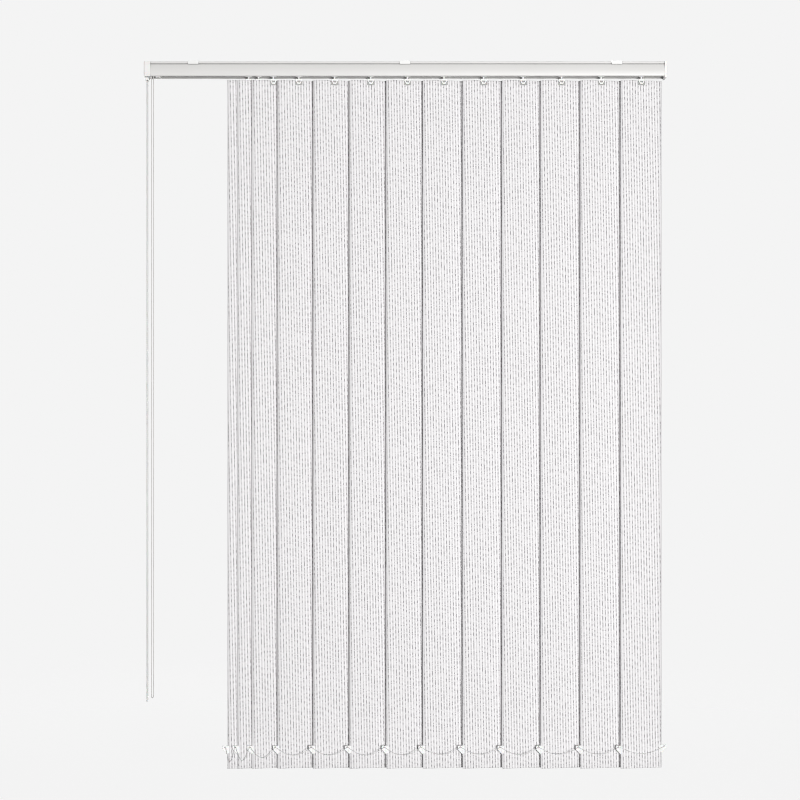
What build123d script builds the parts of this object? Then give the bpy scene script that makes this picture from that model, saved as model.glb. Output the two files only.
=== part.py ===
from build123d import *
import os
from math import cos, radians, sin, sqrt, tan

# Vertical blind: thirteen fabric vanes hang from carriers in an aluminium headrail.
# A chain turns the rod that tilts them, and a cord draws them to the right.
# Frame in millimetres: +X right, +Y to the back, +Z up.
# The origin is the screw hole of the middle bracket, on its mounting face.

# Headrail
rail_left = -527.5
rail_length = 1065.0
rail_depth = 46.0
rail_height = 30.5
rail_wall = 1.4
lip_height = 3.6
groove_height = 2.6
groove_depth = 2.4
return_width = 4.4
lip_round = 0.7
foot_round = 2.6
flange_rise = 4.1
slot_width = 14.0
face_radius = 48.0
bulge_rise = 10.0

# Brackets: one over the origin and one this far in from each end of the headrail
left_bracket_inset = 89.0
right_bracket_inset = 99.0
bracket_width = 21.5
bracket_thickness = 1.6
bracket_side = 1.2
bracket_hook = 1.6
screw_hole_radius = 2.25

# Vanes, from the left: the distance from each one to the next as the blind hangs
rest_pitches = [20.8, 30.5, 53.0, 74.5, 75.0, 76.5, 76.0, 82.5, 82.0, 80.0, 82.5, 83.5]
last_vane_x = 491.5
rest_tilt = 11.0
slat_width = 89.0
slat_top = -38.0
slat_length = 1430.0
fabric_thickness = 0.45
hem_thickness = 2.1
top_hem = 17.0
bottom_hem = 57.0
hem_taper = 4.0
hem_round = 0.5
pocket_clearance = 0.1
pocket_margin = 1.0
notch_width = 15.0
notch_depth = 9.5

# Hanger plate in the top hem
hanger_thickness = 1.0
hanger_inset = 3.0
hanger_drop = 0.6
hanger_height = 11.0
window_width = 6.4
window_height = 3.4
window_drop = 3.2

# Bottom weight and its ears
weight_thickness = 1.0
weight_inset = 0.6
weight_height = 50.0
ear_thickness = 2.2
ear_reach = 10.0
ear_top_rise = 48.0
ear_side = 8.0
ear_height = 18.0
ear_round = 1.5
ear_gap = 0.2
ear_recess = 0.5
ear_rim = 1.1
recess_side = 2.2
recess_foot = 4.4
lap_width = 3.9
lap_height = 15.0
lap_thickness = 0.4
link_hole_radius = 1.7
link_hole_inset = 5.2
link_hole_drop = 3.3

# Vane hook
stem_radius = 3.0
collar_radius = 6.25
collar_height = 2.0
neck_radius = 1.7
neck_height = 4.4
neck_flare = 1.6
fork_width = 12.4
fork_depth = 4.2
fork_bar_height = 2.2
prong_thickness = 1.1
ring_drop = 8.0
ring_foot_width = 6.2
ring_window_width = 7.4
ring_window_height = 5.8
ring_window_drop = 0.4
ring_window_foot = 3.0
rear_prong_width = 6.0
rear_prong_drop = 4.2
nib_height = 1.4
nib_width = 4.8
nib_reach = 1.8

# Carrier
carrier_length = 17.0
carrier_gap = 0.5
carrier_depth = 30.0
carrier_height = 18.2
carrier_lift = 1.2
carrier_chamfer = 2.0
hub_radius = 6.2
runner_radius = 3.8
runner_width = 3.6
runner_spacing = 8.8
runner_clearance = 0.1
gear_radius = 4.0
gear_height = 6.0
gear_teeth = 9
gear_notch_radius = 0.7
gear_clearance = 0.4
worm_radius = 3.7
worm_length = 12.0
running_clearance = 0.05
turning_gap = 0.2

# Tilt rod and chain wheel
rod_radius = 2.5
rod_y = 8.0
rod_z = -16.0
rod_clearance = 0.3
spline_width = 0.9
spline_depth = 0.5
spline_count = 3
wheel_radius = 9.6
wheel_width = 4.4
wheel_pockets = 12
pocket_radius = 1.7
wheel_side_gap = 0.3

# Control end
control_width = 13.3
control_overhang = 0.2
control_wall = 1.5
control_round = 2.5
insert_clearance = 0.4
spout_drop = 5.0
spout_top_width = 9.0
spout_foot_width = 5.6
spout_rim = 1.4
chain_clearance = 0.4
stop_gap = 0.4
tab_left = 9.2
tab_width = 10.4
tab_depth = 12.0

# Right end cap
cap_thickness = 5.0
cap_foot = 2.0
cap_insert = 22.0
cheek_thickness = 1.8
boss_wall = 2.8
pulley_radius = 4.2
pulley_width = 3.0
pulley_axle_radius = 1.5

# Chain loop, cord loop and the chain between the weights
chain_diameter = 3.2
chain_bottom = -1330.0
chain_entry = 3.0
cord_diameter = 1.6
cord_bottom = -1322.0
cord_left_x = -526.4
cord_left_y = -6.0
cord_right_x = -523.6
cord_right_y = 6.0
cord_line_y = -10.0
cord_line_top = -10.0
cord_line_drop = 10.0
cord_entry = 3.0
link_chain_diameter = 1.6
link_chain_clip_radius = 1.1
link_chain_stand_off = 3.2
link_chain_gap = 1.2
wide_sag = 14.8
wide_sag_pitch = 82.6
sag_share = 0.25

# Travel of the carriers
spacer_pitch = 84.0
lead_clearance = 1.0

# How far the shapes that cut holes reach past the surfaces, and how round the bends of a tube are
past = 1.0
bend_share = 0.45

# Worked out from the sizes above
rail_top = -bracket_thickness
rail_bottom = rail_top - rail_height
rail_right = rail_left + rail_length
bulge_z = rail_bottom + bulge_rise
groove_top = rail_top - lip_height
groove_foot = groove_top - groove_height
bracket_xs = [rail_left + left_bracket_inset, 0.0, rail_right - right_bracket_inset]
flange_bottom = rail_bottom + flange_rise
flange_top = flange_bottom + rail_wall
vane_xs = [last_vane_x - sum(rest_pitches[i:]) for i in range(len(rest_pitches) + 1)]
slat_bottom = slat_top - slat_length
stack_pitch = carrier_length + carrier_gap
hub_bottom = flange_bottom - turning_gap
collar_top = hub_bottom - turning_gap
collar_bottom = collar_top - collar_height
fork_top = collar_bottom - neck_height - turning_gap
fork_bottom = fork_top - fork_bar_height
carrier_bottom = flange_top + carrier_lift
carrier_top = carrier_bottom + carrier_height
gear_floor = rod_z - gear_height / 2
ear_top = slat_bottom + ear_top_rise
link_hole_u = slat_width / 2 + link_hole_inset
link_hole_z = ear_top - link_hole_drop
control_left = rail_left - control_width
wheel_x = control_left + control_wall + wheel_width / 2
ear_end = slat_width / 2 + ear_reach
lead_limit_x = cord_right_x + cord_diameter / 2 + ear_end + lead_clearance
lead_travel = vane_xs[0] - lead_limit_x
spare = [spacer_pitch - pitch for pitch in rest_pitches]
extensions = [lead_travel * s / sum(spare) for s in spare]
stack_travels = [pitch - stack_pitch for pitch in rest_pitches]
insert_right = lead_limit_x - carrier_length / 2 - stop_gap


def along_x(points, start, length):
    """A profile of (y, z) points, extruded along +X from start."""
    return extrude(Plane.YZ.offset(start) * make_face(Polyline(*points, close=True)), length)


def along_y(face, front, depth):
    """A face drawn in (x, z), extruded along +Y from front."""
    plane = Plane(origin=(0, front + depth, 0), x_dir=(1, 0, 0), z_dir=(0, -1, 0))
    return extrude(plane * face, depth)


def rod_along_x(radius, start, end, y, z):
    return Pos((start + end) / 2, y, z) * Rot(0, 90, 0) * Cylinder(radius, end - start)


def rod_along_y(radius, start, end, x, z):
    return Pos(x, (start + end) / 2, z) * Rot(90, 0, 0) * Cylinder(radius, end - start)


def upright(radius, bottom, top, x=0.0, y=0.0):
    return Pos(x, y, (bottom + top) / 2) * Cylinder(radius, top - bottom)


def block(low, high):
    size = [h - l for l, h in zip(low, high)]
    middle = [(h + l) / 2 for l, h in zip(low, high)]
    return Pos(*middle) * Box(*size)


def rounded(face, corners, radius):
    """The face with its corners near the given (x, z) points rounded."""
    chosen = [v for v in face.vertices() for c in corners if abs(v.X - c[0]) + abs(v.Y - c[1]) < 0.01]
    return fillet(chosen, radius)


def tube(points, diameter, name):
    """A round tube on straight runs joined by tangent arcs."""
    runs = [Vector(*b) - Vector(*a) for a, b in zip(points, points[1:])]
    radii = []
    for before, after in zip(runs, runs[1:]):
        turn = radians(before.get_angle(after))
        radii.append(bend_share * min(before.length, after.length) / tan(turn / 2))
    if radii:
        print(name, "bend radii:", [round(r, 1) for r in radii])
        path = FilletPolyline(*points, radius=radii)
    else:
        path = Line(*points)
    return sweep(Plane(origin=path @ 0, z_dir=path % 0) * Circle(diameter / 2), path=path)


def at_vane(solid, x):
    """Turn a piece drawn square to the blind to the resting tilt and move it under its carrier."""
    return Pos(x, 0, 0) * Rot(0, 0, rest_tilt) * solid


def wall_y(z, inset=0.0):
    """The bulged front of the headrail at a height, or the inside of its wall with an inset."""
    return face_radius - rail_depth / 2 - sqrt((face_radius - inset) ** 2 - (z - bulge_z) ** 2)


def wall_arc(top, foot, inset=0.0):
    middle = (top + foot) / 2
    return ThreePointArc(*[(wall_y(z, inset), z) for z in (top, middle, foot)])


def headrail():
    lip = wall_y(groove_foot)
    groove = lip + groove_depth
    foot = wall_y(rail_bottom)
    return_top = rail_bottom + rail_wall
    shoulder = groove_foot - rail_wall
    slot = -slot_width / 2
    top_part = Polyline(
        (0, rail_top),
        (lip, rail_top),
        (lip, groove_top),
        (groove, groove_top),
        (groove, groove_foot),
        (lip, groove_foot),
    )
    foot_part = Polyline(
        (foot, rail_bottom),
        (foot + return_width, rail_bottom),
        (foot + return_width, return_top),
        (wall_y(return_top, rail_wall), return_top),
    )
    flange = Polyline(
        (wall_y(flange_bottom, rail_wall), flange_bottom),
        (slot, flange_bottom),
        (slot, flange_top),
        (wall_y(flange_top, rail_wall), flange_top),
    )
    inner_part = Polyline(
        (wall_y(shoulder, rail_wall), shoulder),
        (groove + rail_wall, shoulder),
        (groove + rail_wall, rail_top - rail_wall),
        (0, rail_top - rail_wall),
        (0, rail_top),
    )
    outline = top_part + wall_arc(groove_foot, rail_bottom) + foot_part
    outline += wall_arc(return_top, flange_bottom, rail_wall) + flange
    outline += wall_arc(flange_top, shoulder, rail_wall) + inner_part
    face = make_face(outline)
    face = rounded(face, [(lip, rail_top)], lip_round)
    face = rounded(face, [(foot, rail_bottom)], foot_round)
    half = extrude(Plane.YZ.offset(rail_left) * face, rail_length)
    return half + mirror(half, about=Plane.XZ)


def bracket(x):
    """A spring clip that hooks into the grooves on both sides of the headrail."""
    side = -wall_y(groove_foot)
    outer = side + bracket_side
    hook_foot = groove_top - bracket_hook
    half = [
        (0, 0),
        (outer, 0),
        (outer, hook_foot),
        (side - bracket_hook, hook_foot),
        (side - bracket_hook, groove_top),
        (side, groove_top),
        (side, rail_top),
        (0, rail_top),
    ]
    outline = half + [(-y, z) for y, z in reversed(half[1:-1])]
    clip = along_x(outline, x - bracket_width / 2, bracket_width)
    hole = upright(screw_hole_radius, -2 * bracket_thickness, bracket_thickness, x)
    return clip - hole


def wheel_room(radius, left, right):
    """The space of the chain wheel, open downwards where the two runs of chain leave it."""
    room = rod_along_x(radius, left, right, rod_y, rod_z)
    return room + block((left, rod_y - radius, rail_bottom - rail_wall), (right, rod_y + radius, rod_z))


def spout():
    """The hollow funnel under the control end that guides the two runs of chain."""
    reach = wheel_radius + chain_diameter / 2 + chain_clearance + spout_rim
    top = rail_bottom - control_overhang
    upper = Plane((wheel_x, rod_y, top)) * Rectangle(spout_top_width, 2 * reach + spout_rim)
    lower = Plane((wheel_x, rod_y, top - spout_drop)) * Rectangle(spout_foot_width, 2 * reach)
    shell = loft([upper, lower])
    hole = chain_diameter / 2 + chain_clearance
    for side in (-1, 1):
        shell -= upright(hole, top - 2 * spout_drop, top + spout_drop, wheel_x, rod_y + side * wheel_radius)
    return shell


def control_end():
    half = rail_depth / 2 + control_overhang
    top = rail_top + control_overhang
    foot = rail_bottom - control_overhang
    housing = block((control_left, -half, foot), (rail_left, half, top))
    outer_edges = housing.faces().sort_by(Axis.X)[0].edges()
    housing = fillet(outer_edges, control_round)
    housing += spout()
    room = wheel_radius + chain_diameter / 2 + chain_clearance
    room_left = control_left + control_wall
    housing -= wheel_room(room, room_left, room_left + wheel_width + 2 * wheel_side_gap)
    chain_hole = chain_diameter / 2 + chain_clearance
    for side in (-1, 1):
        y = rod_y + side * wheel_radius
        housing -= upright(chain_hole, foot - 2 * spout_drop, rod_z, wheel_x, y)
    inside = -wall_y(groove_foot) - groove_depth - rail_wall - insert_clearance
    floor = flange_top + insert_clearance
    ceiling = rail_top - rail_wall - insert_clearance
    insert = block((rail_left, -inside, floor), (insert_right, inside, ceiling))
    slot_half = slot_width / 2 - insert_clearance
    insert += block((rail_left, -slot_half, flange_bottom), (insert_right, slot_half, floor))
    tab_x = rail_left + tab_left
    tab = block((tab_x, -tab_depth / 2, rail_bottom), (tab_x + tab_width, tab_depth / 2, flange_bottom))
    body = housing + insert + tab
    bore = rod_radius + running_clearance
    body -= rod_along_x(bore, control_left + control_wall, insert_right + past, rod_y, rod_z)
    cord_hole = cord_diameter / 2 + insert_clearance
    for x, y in ((cord_left_x, cord_left_y), (cord_right_x, cord_right_y)):
        body -= upright(cord_hole, foot, flange_bottom + 2 * cord_entry, x, y)
    for z in (cord_line_top, cord_line_top - cord_line_drop):
        body -= rod_along_x(cord_hole, insert_right - 2 * cord_entry, insert_right + past, cord_line_y, z)
    return body


def end_cap():
    """The plate on the right end, with the bearing of the rod and the pulley of the cord."""
    half = rail_depth / 2 + control_overhang
    foot = rail_bottom - cap_foot
    plate = block((rail_right, -half, foot), (rail_right + cap_thickness, half, rail_top + control_overhang))
    plate = fillet(plate.faces().sort_by(Axis.X)[-1].edges(), control_round / 2)
    left = rail_right - cap_insert
    ceiling = rail_top - rail_wall - insert_clearance
    floor = flange_top + insert_clearance
    boss_half = rod_radius + boss_wall
    plate += block((left, rod_y - boss_half, floor), (rail_right, rod_y + boss_half, ceiling))
    for side in (-1, 1):
        near = cord_line_y + side * (pulley_width / 2 + turning_gap)
        far = near + side * cheek_thickness
        plate += block((left, min(near, far), floor), (rail_right, max(near, far), ceiling))
    middle_z = cord_line_top - cord_line_drop / 2
    pulley_x = left + pulley_radius + cord_diameter
    reach = pulley_width / 2 + cheek_thickness
    plate += rod_along_y(pulley_axle_radius, cord_line_y - reach, cord_line_y + reach, pulley_x, middle_z)
    plate -= rod_along_x(rod_radius + running_clearance, left - past, rail_right + past, rod_y, rod_z)
    wheel = rod_along_y(
        pulley_radius, cord_line_y - pulley_width / 2, cord_line_y + pulley_width / 2, pulley_x, middle_z
    )
    wheel -= rod_along_y(
        pulley_axle_radius + running_clearance,
        cord_line_y - pulley_width,
        cord_line_y + pulley_width,
        pulley_x,
        middle_z,
    )
    return Compound([plate.solid(), wheel.solid()])


def tilt_rod():
    """The splined rod, and the chain wheel on its left end."""
    wheel_left = wheel_x - wheel_width / 2 + wheel_side_gap
    rod = rod_along_x(rod_radius, wheel_left, rail_right, rod_y, rod_z)
    grooves_left = rail_left + control_wall
    for k in range(spline_count):
        groove = Rot(k * 360 / spline_count, 0, 0) * block(
            (grooves_left, -spline_width / 2, rod_radius - spline_depth),
            (rail_right - cap_insert, spline_width / 2, 2 * rod_radius),
        )
        rod -= Pos(0, rod_y, rod_z) * groove
    wheel = rod_along_x(wheel_radius, wheel_left, wheel_x + wheel_width / 2, rod_y, rod_z)
    for k in range(wheel_pockets):
        notch = rod_along_x(pocket_radius, wheel_left - past, wheel_x + wheel_width, 0, wheel_radius)
        wheel -= Pos(0, rod_y, rod_z) * Rot(k * 360 / wheel_pockets, 0, 0) * notch
    wheel -= rod_along_x(
        rod_radius + running_clearance, wheel_left - past, wheel_x + wheel_width, rod_y, rod_z
    )
    return Compound([rod.solid(), wheel.solid()])


def carrier(x):
    """A carrier with its four runners, the bores for hook, rod and cord, and its worm."""
    half_length = carrier_length / 2
    half_depth = carrier_depth / 2
    body = block((-half_length, -half_depth, carrier_bottom), (half_length, half_depth, carrier_top))
    body = chamfer(body.edges().filter_by(Axis.X).group_by(Axis.Z)[-1], carrier_chamfer)
    body += upright(hub_radius, hub_bottom, carrier_bottom)
    runner_z = flange_top + runner_clearance + runner_radius
    for side in (-1, 1):
        for end in (-1, 1):
            near = side * half_depth
            far = side * (half_depth + runner_width)
            spot = end * runner_spacing / 2
            body += rod_along_y(runner_radius, min(near, far), max(near, far), spot, runner_z)
    body -= upright(stem_radius + running_clearance, hub_bottom - past, carrier_top)
    body -= upright(gear_radius + gear_clearance, gear_floor, carrier_top + past)
    room = worm_radius + gear_clearance
    half_worm = worm_length / 2 + turning_gap
    body -= block((-half_worm, rod_y - room, rod_z - room), (half_worm, rod_y + room, carrier_top + past))
    body -= rod_along_x(rod_radius + rod_clearance, -carrier_length, carrier_length, rod_y, rod_z)
    for z in (cord_line_top, cord_line_top - cord_line_drop):
        body -= rod_along_x(
            cord_diameter / 2 + insert_clearance, -carrier_length, carrier_length, cord_line_y, z
        )
    worm = rod_along_x(worm_radius, -worm_length / 2, worm_length / 2, rod_y, rod_z)
    worm -= rod_along_x(rod_radius + rod_clearance, -worm_length, worm_length, rod_y, rod_z)
    return Pos(x, 0, 0) * Compound([body.solid(), worm.solid()])


def ring_prong():
    """The front prong of the fork, a ring that the top of the slat shows through."""
    half = fork_width / 2
    foot = fork_top - fork_bar_height - ring_drop
    outline = Polyline(
        (-half, fork_top),
        (half, fork_top),
        (half, foot + half),
        (ring_foot_width / 2, foot),
        (-ring_foot_width / 2, foot),
        (-half, foot + half),
        close=True,
    )
    face = make_face(outline)
    window_half = ring_window_width / 2
    window_top = fork_bottom - ring_window_drop
    window_foot = window_top - ring_window_height
    window = Polyline(
        (-window_half, window_top),
        (window_half, window_top),
        (window_half, window_foot + window_half),
        (ring_window_foot / 2, window_foot),
        (-ring_window_foot / 2, window_foot),
        (-window_half, window_foot + window_half),
        close=True,
    )
    return along_y(face - make_face(window), -fork_depth / 2, prong_thickness)


def hook(x):
    """The turning hook: gear, stem, collar, neck and the fork that grips the hanger plate."""
    gear_bottom = gear_floor + turning_gap / 2
    solid = upright(gear_radius, gear_bottom, gear_bottom + gear_height)
    for k in range(gear_teeth):
        notch = upright(gear_notch_radius, gear_bottom - past, gear_bottom + gear_height + past, gear_radius)
        solid -= Rot(0, 0, k * 360 / gear_teeth) * notch
    solid += upright(stem_radius, collar_top, gear_bottom)
    solid += upright(collar_radius, collar_bottom, collar_top)
    solid += upright(neck_radius, fork_top, collar_bottom)
    solid += Pos(0, 0, fork_top + neck_flare / 2) * Cone(fork_depth / 2, neck_radius, neck_flare)
    bar = block(
        (-fork_width / 2, -fork_depth / 2, fork_bottom), (fork_width / 2, fork_depth / 2, fork_top)
    )
    solid += bar
    solid += ring_prong()
    back = fork_depth / 2
    slot_top = slat_top - hanger_drop - window_drop
    prong_foot = slot_top - rear_prong_drop
    solid += block(
        (-rear_prong_width / 2, back - prong_thickness, prong_foot), (rear_prong_width / 2, back, fork_bottom)
    )
    nib_top = slot_top - turning_gap
    solid += block(
        (-nib_width / 2, back - prong_thickness - nib_reach, nib_top - nib_height),
        (nib_width / 2, back - prong_thickness, nib_top),
    )
    return at_vane(solid, x)


def slat_fabric():
    """The fabric of one slat, with an open pocket in its top and bottom hem."""
    half = slat_width / 2
    sheet = fabric_thickness / 2
    hem = hem_thickness / 2
    low_seam = slat_bottom + bottom_hem
    high_seam = slat_top - top_hem
    side = [
        (hem - hem_round, slat_bottom),
        (hem, slat_bottom + hem_round),
        (hem, low_seam - hem_taper),
        (sheet, low_seam),
        (sheet, high_seam),
        (hem, high_seam + hem_taper),
        (hem, slat_top - hem_round),
        (hem - hem_round, slat_top),
    ]
    fabric = along_x(side + [(-y, z) for y, z in reversed(side)], -half, slat_width)
    pocket = hem - fabric_thickness
    low_room = (slat_bottom + fabric_thickness, low_seam - hem_taper - pocket_margin)
    high_room = (high_seam + hem_taper + pocket_margin, slat_top - fabric_thickness)
    for bottom, top in (low_room, high_room):
        fabric -= block((-half - past, -pocket, bottom), (half + past, pocket, top))
    notch_half = notch_width / 2
    fabric -= block(
        (-notch_half, -hem - past, slat_top - notch_depth), (notch_half, hem + past, slat_top + past)
    )
    return fabric


def hanger_plate():
    """The stiff plate in the top hem, with the window that the hook grips."""
    half = slat_width / 2 - hanger_inset
    top = slat_top - hanger_drop
    plate = block(
        (-half, -hanger_thickness / 2, top - hanger_height), (half, hanger_thickness / 2, top)
    )
    window_top = top - window_drop
    return plate - block(
        (-window_width / 2, -past, window_top - window_height), (window_width / 2, past, window_top)
    )


def ear(side):
    """One ear of the weight, outside the pocket, and the small plates that lap over the hem."""
    edge = slat_width / 2 + ear_gap
    outer = slat_width / 2 + ear_reach
    top = ear_top
    foot = top - ear_height
    outline = Polyline(
        (side * edge, top),
        (side * outer, top),
        (side * outer, top - ear_side),
        (side * edge, foot),
        close=True,
    )
    face = rounded(make_face(outline), [(side * outer, top), (side * outer, top - ear_side)], ear_round)
    half = ear_thickness / 2
    solid = along_y(face, -half, ear_thickness)
    hollow = Polyline(
        (side * (edge + recess_side), top - ear_rim),
        (side * (outer - ear_rim), top - ear_rim),
        (side * (outer - ear_rim), top - ear_side + ear_rim / 2),
        (side * (edge + recess_side), foot + recess_foot),
        close=True,
    )
    solid -= along_y(make_face(hollow), -half, ear_recess)
    solid -= rod_along_y(link_hole_radius, -ear_thickness, ear_thickness, side * link_hole_u, link_hole_z)
    lap_top = top - ear_rim
    for face_side in (-1, 1):
        near = face_side * half
        far = face_side * (half + lap_thickness)
        solid += block(
            (min(side * (edge + ear_rim), side * (edge - lap_width)), min(near, far), lap_top - lap_height),
            (max(side * (edge + ear_rim), side * (edge - lap_width)), max(near, far), lap_top),
        )
    return solid


def bottom_weight():
    """The weight in the bottom hem, which carries an ear on each side."""
    half = slat_width / 2 + ear_gap + pocket_clearance
    plate_half = slat_width / 2 - weight_inset
    bottom = slat_bottom + fabric_thickness + pocket_clearance
    thin = weight_thickness / 2
    weight = block((-plate_half, -thin, bottom), (plate_half, thin, bottom + weight_height))
    weight += block((-half, -thin, ear_top - ear_height), (half, thin, ear_top))
    return weight + ear(-1) + ear(1)


def slat(x):
    pieces = [slat_fabric(), hanger_plate(), bottom_weight()]
    return Compound([at_vane(piece, x).solid() for piece in pieces])


def link_hole(x, side):
    """The middle of an ear's hole, on the left (-1) or right (1) of the vane at x."""
    reach = side * link_hole_u
    return Vector(x + reach * cos(radians(rest_tilt)), reach * sin(radians(rest_tilt)), link_hole_z)


def chain_clip(hole):
    """The clip of the chain, through the hole of an ear."""
    back = hole.Y + ear_thickness / 2
    front = hole.Y - link_chain_stand_off
    return rod_along_y(link_chain_clip_radius, front, back, hole.X, hole.Z)


def hanging_run(start, end, sag, name):
    """The slack stretch of chain from one ear to the next."""
    points = []
    for share in (0, 0.2, 0.4, 0.6, 0.8, 1):
        low = 4 * sag * share * (1 - share)
        x = start.X + share * (end.X - start.X)
        y = start.Y + share * (end.Y - start.Y)
        points.append((x, y, start.Z - low))
    return tube(points, link_chain_diameter, name)


def chain_to(index):
    """The stretch of chain that ends at the left ear of a vane, with its clip."""
    hole = link_hole(vane_xs[index], -1)
    clip = chain_clip(hole)
    if index == 0:
        return clip
    before = link_hole(vane_xs[index - 1], -1)
    front = Vector(0, -link_chain_stand_off, 0)
    past_clip = Vector(link_chain_clip_radius + link_chain_gap, 0, 0)
    sag = wide_sag + sag_share * (wide_sag_pitch - rest_pitches[index - 1])
    run = hanging_run(before + front + past_clip, hole + front, sag, f"bottom_chain_{index + 1:02d}")
    return clip + run


def end_chain():
    """The last stretch of chain, across the front of the last vane to its right ear."""
    tilt = radians(rest_tilt)
    out = Vector(sin(tilt), -cos(tilt), 0) * link_chain_stand_off
    along = Vector(cos(tilt), sin(tilt), 0)
    first = link_hole(last_vane_x, -1) + out + along * (2 * link_chain_clip_radius + link_chain_gap)
    right = link_hole(last_vane_x, 1)
    last = right + out
    clip = at_vane(rod_along_y(
        link_chain_clip_radius, -link_chain_stand_off, ear_thickness / 2, link_hole_u, link_hole_z
    ), last_vane_x)
    return clip + hanging_run(first, last, wide_sag, "end_chain")


def tilt_chain():
    """The closed loop of chain below the control end."""
    top = rail_bottom - control_overhang - spout_drop + chain_entry
    front = rod_y - wheel_radius
    back = rod_y + wheel_radius
    points = [
        (wheel_x, front, top),
        (wheel_x, front, chain_bottom),
        (wheel_x, back, chain_bottom),
        (wheel_x, back, top),
    ]
    return tube(points, chain_diameter, "tilt_chain")


def traverse_cord():
    """The hanging loop of the cord, and its two runs inside the headrail."""
    top = flange_bottom + cord_entry
    loop = tube(
        [
            (cord_left_x, cord_left_y, top),
            (cord_left_x, cord_left_y, cord_bottom),
            (cord_right_x, cord_right_y, cord_bottom),
            (cord_right_x, cord_right_y, top),
        ],
        cord_diameter,
        "traverse_cord",
    )
    start = insert_right - cord_entry
    bend = rail_right - cap_insert + pulley_radius + cord_diameter
    high = cord_line_top
    low = cord_line_top - cord_line_drop
    bend_radius = cord_line_drop / 2
    path = Line((start, cord_line_y, high), (bend, cord_line_y, high))
    path += TangentArc((bend, cord_line_y, high), (bend, cord_line_y, low), tangent=(1, 0, 0))
    path += Line((bend, cord_line_y, low), (start, cord_line_y, low))
    print("traverse_cord pulley radius:", bend_radius)
    line = sweep(Plane(origin=path @ 0, z_dir=path % 0) * Circle(cord_diameter / 2), path=path)
    return Compound([loop.solid(), line.solid()])


def save(shape, name):
    shape.label = name
    export_step(shape, f"parts/{name}.step")


os.makedirs("parts", exist_ok=True)
save(headrail(), "headrail")
save(control_end(), "control_end")
save(end_cap(), "end_cap")
save(tilt_rod(), "tilt_rod")
save(Compound([bracket(x).solid() for x in bracket_xs]), "mounting_brackets")
for index, x in enumerate(vane_xs):
    number = f"{index + 1:02d}"
    save(carrier(x), f"carrier_{number}")
    save(hook(x), f"hook_{number}")
    save(slat(x), f"slat_{number}")
    save(chain_to(index), f"bottom_chain_{number}")
save(end_chain(), "end_chain")
save(tilt_chain(), "tilt_chain")
save(traverse_cord(), "traverse_cord")

print("vane places:", [round(x, 2) for x in vane_xs])
print("each carrier may extend by:", [round(e, 2) for e in extensions])
print("each carrier may close up by:", [round(s, 2) for s in stack_travels])
print("ear hole from the vane's axis:", link_hole_u, "at", round(link_hole_z, 2))
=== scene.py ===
from math import cos, pi, radians, sin, tau

import bmesh
import bpy
from mathutils import Matrix, Vector, noise


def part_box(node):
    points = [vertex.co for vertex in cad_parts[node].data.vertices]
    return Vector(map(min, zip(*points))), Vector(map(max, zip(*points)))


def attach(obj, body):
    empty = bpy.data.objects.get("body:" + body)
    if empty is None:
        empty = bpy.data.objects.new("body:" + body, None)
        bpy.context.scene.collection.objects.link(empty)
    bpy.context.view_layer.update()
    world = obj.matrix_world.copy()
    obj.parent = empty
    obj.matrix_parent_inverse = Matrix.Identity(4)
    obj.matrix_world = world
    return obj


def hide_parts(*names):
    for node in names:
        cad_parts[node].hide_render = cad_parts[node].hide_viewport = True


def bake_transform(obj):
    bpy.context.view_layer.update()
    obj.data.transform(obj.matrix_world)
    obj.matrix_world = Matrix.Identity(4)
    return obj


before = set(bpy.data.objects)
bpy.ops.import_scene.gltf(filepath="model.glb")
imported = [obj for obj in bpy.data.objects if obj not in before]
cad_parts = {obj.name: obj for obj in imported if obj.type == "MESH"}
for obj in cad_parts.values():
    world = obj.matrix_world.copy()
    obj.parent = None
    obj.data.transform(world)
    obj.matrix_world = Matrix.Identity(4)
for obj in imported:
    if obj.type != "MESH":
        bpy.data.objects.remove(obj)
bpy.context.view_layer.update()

# A vertical blind: thirteen cloth slats on a white headrail, with its control chain and cord.
# Everything is in metres, in the frame of the solids: +X right, +Y to the back, +Z up.

mm = 0.001
slat_count = 13
rest_tilt = radians(11.0)

# Slat
slat_width = 89.0 * mm
slat_top = -38.0 * mm
slat_bottom = -1468.0 * mm
cloth_thickness = 0.45 * mm
hem_thickness = 2.1 * mm
top_hem = 17.0 * mm
bottom_hem = 57.0 * mm
hem_taper = 4.0 * mm
notch_width = 15.0 * mm
notch_depth = 9.5 * mm
cloth_rows = 45
cloth_columns = 10
cloth_drift = 0.35 * mm
drift_fade = 120.0 * mm

# Weave
rib_spacing = 5.85 * mm
rib_lean = 0.0191
pick_spacing = 2.4 * mm
stroke_spacing = 12.0 * mm
figure_width = 90.0 * mm
figure_turn = 150.0 * mm
figure_swing = 4.5
# Band along each cut side where a painted highlight is drawn, from full white at the edge to none.
edge_highlight_band = (1.4 * mm, 2.2 * mm)
drawn_thread = 1.2 * mm
cloth_step = 1600.0 * mm

# Hanger plate
hanger_inset = 3.0 * mm
hanger_drop = 0.6 * mm
hanger_height = 11.0 * mm
hanger_thickness = 1.0 * mm
hanger_round = 1.2 * mm
window_width = 6.4 * mm
window_height = 3.4 * mm
window_drop = 3.2 * mm

# Bottom weight and its ears
weight_thickness = 1.0 * mm
weight_inset = 0.6 * mm
weight_height = 50.0 * mm
pocket_clearance = 0.1 * mm
ear_thickness = 2.2 * mm
ear_reach = 10.0 * mm
ear_top = -1420.0 * mm
ear_side = 8.0 * mm
ear_height = 18.0 * mm
ear_round = 1.5 * mm
ear_rim = 1.1 * mm
ear_recess = 0.5 * mm
rim_overlap = 0.1 * mm
lap_width = 3.9 * mm
lap_height = 15.0 * mm
lap_thickness = 0.4 * mm
link_hole_radius = 1.7 * mm
link_hole_u = 49.7 * mm
link_hole_z = -1423.3 * mm

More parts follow.
